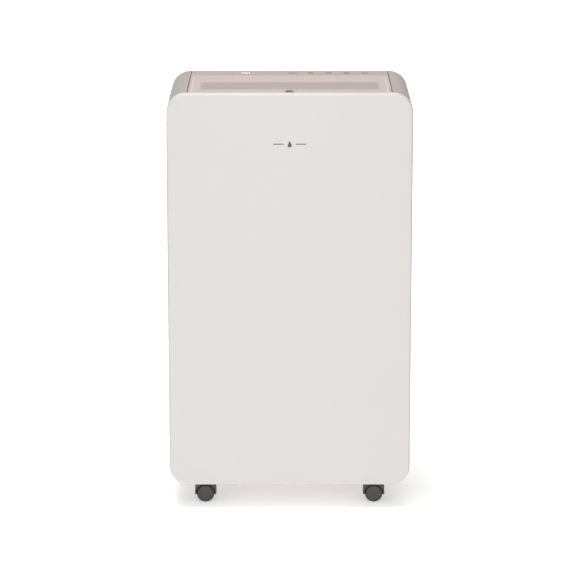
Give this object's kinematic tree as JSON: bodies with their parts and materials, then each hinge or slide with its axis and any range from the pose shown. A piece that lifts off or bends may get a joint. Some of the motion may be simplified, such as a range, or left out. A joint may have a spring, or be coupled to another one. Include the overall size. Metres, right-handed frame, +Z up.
{
  "type": "dehumidifier",
  "caption": "Upright compressor dehumidifier with a flat front panel, a top outlet grille beside a touch strip, a rear intake and water tank, and swivel casters.",
  "frame": {"origin": "on the floor under the middle of the case", "axes": "+Z up, -Y towards the front panel, +X to the right as seen from the front"},
  "size_m": [0.34, 0.206, 0.597],
  "materials": {
    "panel_white": "satin off-white moulding with a very fine grain",
    "shell_taupe": "satin taupe moulding",
    "strip_taupe": "satin touch-control strip in taupe",
    "grille_beige": "beige perforated moulding",
    "display_glass": "dark clear window",
    "inner_grey": "plain moulded",
    "tank_clear": "smoked translucent moulding",
    "board_green": "circuit board",
    "caster_grey": "dark grey nylon",
    "wheel_grey": "grey nylon disc with a rubbed tread",
    "bare_steel": "bare steel",
    "compressor_black": "black paint on a pressed steel shell",
    "copper": "drawn copper tube",
    "fin_aluminium": "pressed fins",
    "soft_rubber": "soft moulded rubber",
    "filter_black": "fine mesh in a moulded frame",
    "float_white": "closed-cell float"
  },
  "bodies": {
    "case": {"front_panel": "panel_white", "front_frame": "inner_grey", "right_side_shell": "shell_taupe", "left_side_shell": "shell_taupe", "right_grip_cup": "shell_taupe", "left_grip_cup": "shell_taupe", "rear_cover": "shell_taupe", "base_pan": "inner_grey", "cord_gland": "soft_rubber", "tank_bay": "inner_grey", "top_frame": "inner_grey", "control_strip": "strip_taupe", "display_window": "display_glass", "control_board": "board_green", "outlet_duct": "inner_grey", "drip_tray": "inner_grey", "drain_spout": "inner_grey", "evaporator": "fin_aluminium", "condenser": "fin_aluminium", "fan_scroll": "inner_grey", "fan_motor": "bare_steel", "compressor": "compressor_black", "compressor_grommet_1": "soft_rubber", "compressor_grommet_2": "soft_rubber", "compressor_grommet_3": "soft_rubber", "accumulator": "compressor_black", "suction_pipe": "copper", "discharge_pipe": "copper", "capillary_tube": "copper", "power_box": "inner_grey", "run_capacitor": "bare_steel", "tank_switch": "caster_grey", "humidity_sensor": "board_green"},
    "outlet_lid": {"top_grille": "grille_beige"},
    "intake_screen": {"intake_grille": "shell_taupe", "air_filter": "filter_black"},
    "tank": {"water_tank": "tank_clear", "tank_lid": "inner_grey"},
    "tank_bail": {"tank_handle": "shell_taupe"},
    "level_float": {"tank_float": "float_white"},
    "drain_plug": {"drain_cap": "soft_rubber"},
    "fan": {"fan_impeller": "caster_grey"},
    "front_left_swivel": {"front_left_hood": "caster_grey"},
    "front_left_wheels": {"front_left_axle": "bare_steel", "front_left_front_wheel": "wheel_grey", "front_left_rear_wheel": "wheel_grey"},
    "front_right_swivel": {"front_right_hood": "caster_grey"},
    "front_right_wheels": {"front_right_axle": "bare_steel", "front_right_front_wheel": "wheel_grey", "front_right_rear_wheel": "wheel_grey"},
    "rear_left_swivel": {"rear_left_hood": "caster_grey"},
    "rear_left_wheels": {"rear_left_axle": "bare_steel", "rear_left_front_wheel": "wheel_grey", "rear_left_rear_wheel": "wheel_grey"},
    "rear_right_swivel": {"rear_right_hood": "caster_grey"},
    "rear_right_wheels": {"rear_right_axle": "bare_steel", "rear_right_front_wheel": "wheel_grey", "rear_right_rear_wheel": "wheel_grey"}
  },
  "joints": [
    {"name": "outlet_lid_lift", "type": "hinge", "parent": "case", "child": "outlet_lid", "pos_m": [0, 0.0627, 0.5964], "axis": [-1, 0, 0], "range_deg": [0, 80]},
    {"name": "intake_screen_pull", "type": "slide", "parent": "case", "child": "intake_screen", "axis": [0, 1, 0], "range_m": [0, 0.06]},
    {"name": "tank_slide", "type": "slide", "parent": "case", "child": "tank", "axis": [0, 1, 0], "range_m": [0, 0.1]},
    {"name": "tank_bail_lift", "type": "hinge", "parent": "tank", "child": "tank_bail", "pos_m": [0, 0.0736, 0.2056], "axis": [-1, 0, 0], "range_deg": [0, 90]},
    {"name": "float_rise", "type": "hinge", "parent": "tank", "child": "level_float", "pos_m": [0.1, 0.0335, 0.1803], "axis": [1, 0, 0], "range_deg": [0, 25]},
    {"name": "drain_plug_pull", "type": "slide", "parent": "case", "child": "drain_plug", "axis": [0, 1, 0], "range_m": [0, 0.03]},
    {"name": "fan_spin", "type": "hinge", "parent": "case", "child": "fan", "pos_m": [0, 0, 0.3619], "axis": [0, 1, 0], "continuous": true},
    {"name": "front_left_swivel_turn", "type": "hinge", "parent": "case", "child": "front_left_swivel", "pos_m": [-0.1155, -0.058, 0.036], "axis": [0, 0, 1], "continuous": true},
    {"name": "front_left_wheels_roll", "type": "hinge", "parent": "front_left_swivel", "child": "front_left_wheels", "pos_m": [-0.1205, -0.058, 0.0125], "axis": [0, 1, 0], "continuous": true},
    {"name": "front_right_swivel_turn", "type": "hinge", "parent": "case", "child": "front_right_swivel", "pos_m": [0.1155, -0.058, 0.036], "axis": [0, 0, 1], "continuous": true},
    {"name": "front_right_wheels_roll", "type": "hinge", "parent": "front_right_swivel", "child": "front_right_wheels", "pos_m": [0.1205, -0.058, 0.0125], "axis": [0, 1, 0], "continuous": true},
    {"name": "rear_left_swivel_turn", "type": "hinge", "parent": "case", "child": "rear_left_swivel", "pos_m": [-0.1155, 0.058, 0.036], "axis": [0, 0, 1], "continuous": true},
    {"name": "rear_left_wheels_roll", "type": "hinge", "parent": "rear_left_swivel", "child": "rear_left_wheels", "pos_m": [-0.1205, 0.058, 0.0125], "axis": [0, 1, 0], "continuous": true},
    {"name": "rear_right_swivel_turn", "type": "hinge", "parent": "case", "child": "rear_right_swivel", "pos_m": [0.1155, 0.058, 0.036], "axis": [0, 0, 1], "continuous": true},
    {"name": "rear_right_wheels_roll", "type": "hinge", "parent": "rear_right_swivel", "child": "rear_right_wheels", "pos_m": [0.1205, 0.058, 0.0125], "axis": [0, 1, 0], "continuous": true}
  ]
}
